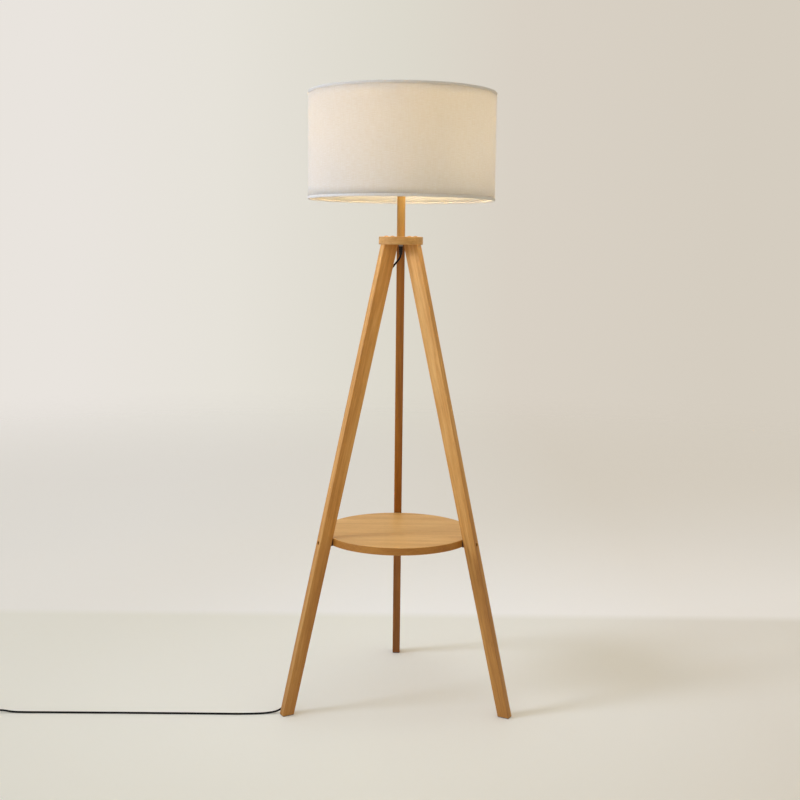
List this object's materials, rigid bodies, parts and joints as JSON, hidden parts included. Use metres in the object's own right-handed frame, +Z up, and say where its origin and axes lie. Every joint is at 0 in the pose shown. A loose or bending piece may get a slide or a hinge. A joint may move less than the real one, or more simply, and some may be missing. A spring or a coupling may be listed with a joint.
{
  "type": "tripod floor lamp",
  "caption": "Floor lamp with a linen drum shade on a wooden tripod that carries a round shelf, with a foot switch in its lead.",
  "frame": {"origin": "the point on the floor under the pole's axis", "axes": "+Z up along the pole, -Y to the front, between the two front legs; +X to the lamp's left-hand side seen from behind, so to the viewer's right"},
  "size_m": [1.4655, 0.5432, 1.487],
  "materials": {
    "honey_wood": "satin lacquer, straight grain",
    "grey_felt": "pressed felt",
    "zinc_steel": "zinc plated",
    "black_rubber": "matte",
    "blackened_steel": "black oxide",
    "black_pvc": "smooth sheath",
    "core_insulation": "extruded",
    "holder_plastic": "moulded phenolic",
    "ceramic": "glazed ceramic",
    "brass": "bright",
    "black_glass": "vitrified",
    "nickel_shell": "rolled",
    "lamp_housing": "moulded white",
    "led_board": "white solder mask",
    "opal_diffuser": "opal, satin",
    "linen": "plain-woven linen laminated on film",
    "shade_tape": "smooth cotton tape",
    "white_wire": "white epoxy",
    "switch_plastic": "fine spark-eroded texture",
    "spring_steel": "drawn",
    "plug_plastic": "moulded",
    "nickel_brass": "nickel plated brass"
  },
  "bodies": {
    "lamp": {"leg_front_left": "honey_wood", "leg_front_right": "honey_wood", "leg_back": "honey_wood", "hub_disc": "honey_wood", "hub_plugs": "honey_wood", "shelf": "honey_wood", "pole": "honey_wood", "foot_pads": "grey_felt", "hub_screws": "zinc_steel", "shelf_spacers": "black_rubber", "shelf_screws": "blackened_steel", "threaded_tube": "zinc_steel", "hub_washer": "zinc_steel", "hub_nut": "zinc_steel", "pole_nut": "zinc_steel", "cord_grip": "black_rubber", "inner_cord": "black_pvc", "holder_wires": "core_insulation", "holder_cap": "holder_plastic", "holder_body": "holder_plastic", "shade_clamp_ring": "holder_plastic", "holder_insert": "ceramic", "socket_shell": "brass", "centre_contact": "brass", "terminal_screws": "brass", "shade_panel": "linen", "shade_top_trim": "shade_tape", "shade_bottom_trim": "shade_tape", "shade_top_ring": "white_wire", "shade_bottom_ring": "white_wire", "shade_spider": "white_wire", "cord_lead": "black_pvc", "cord_clips": "switch_plastic", "clip_nails": "zinc_steel", "switch_base": "switch_plastic", "switch_cover": "switch_plastic", "switch_spring": "spring_steel", "switch_contacts": "brass", "switch_screws": "zinc_steel", "switch_feet": "black_rubber", "switch_reliefs": "black_rubber", "cord_to_coil": "black_pvc", "cord_coil": "black_pvc", "coil_tie": "switch_plastic", "cord_to_plug": "black_pvc", "plug_body": "plug_plastic", "plug_pins": "nickel_brass"},
    "bulb_lift": {"bulb_tip_contact": "brass"},
    "bulb": {"bulb_globe": "opal_diffuser", "bulb_board": "led_board", "bulb_body": "lamp_housing", "bulb_screw_shell": "nickel_shell", "bulb_insulator": "black_glass"},
    "switch_key": {"switch_button": "switch_plastic"}
  },
  "joints": [
    {"name": "bulb_rise", "type": "slide", "parent": "lamp", "child": "bulb_lift", "axis": [0, 0, 1], "range_m": [0, 0.0128]},
    {"name": "bulb_turn", "type": "hinge", "parent": "bulb_lift", "child": "bulb", "pos_m": [0, 0, 1.32], "axis": [0, 0, 1], "range_deg": [0, 1260]},
    {"name": "key_press", "type": "slide", "parent": "lamp", "child": "switch_key", "axis": [0, 0, -1], "range_m": [0, 0.003], "stiffness_N_per_m": 400, "springref_m": -0.002, "deforming": ["switch_spring"]}
  ],
  "couplings": [
    {"joint": "bulb_rise", "follows": "bulb_turn", "m_per_rad": 0.00057757}
  ]
}
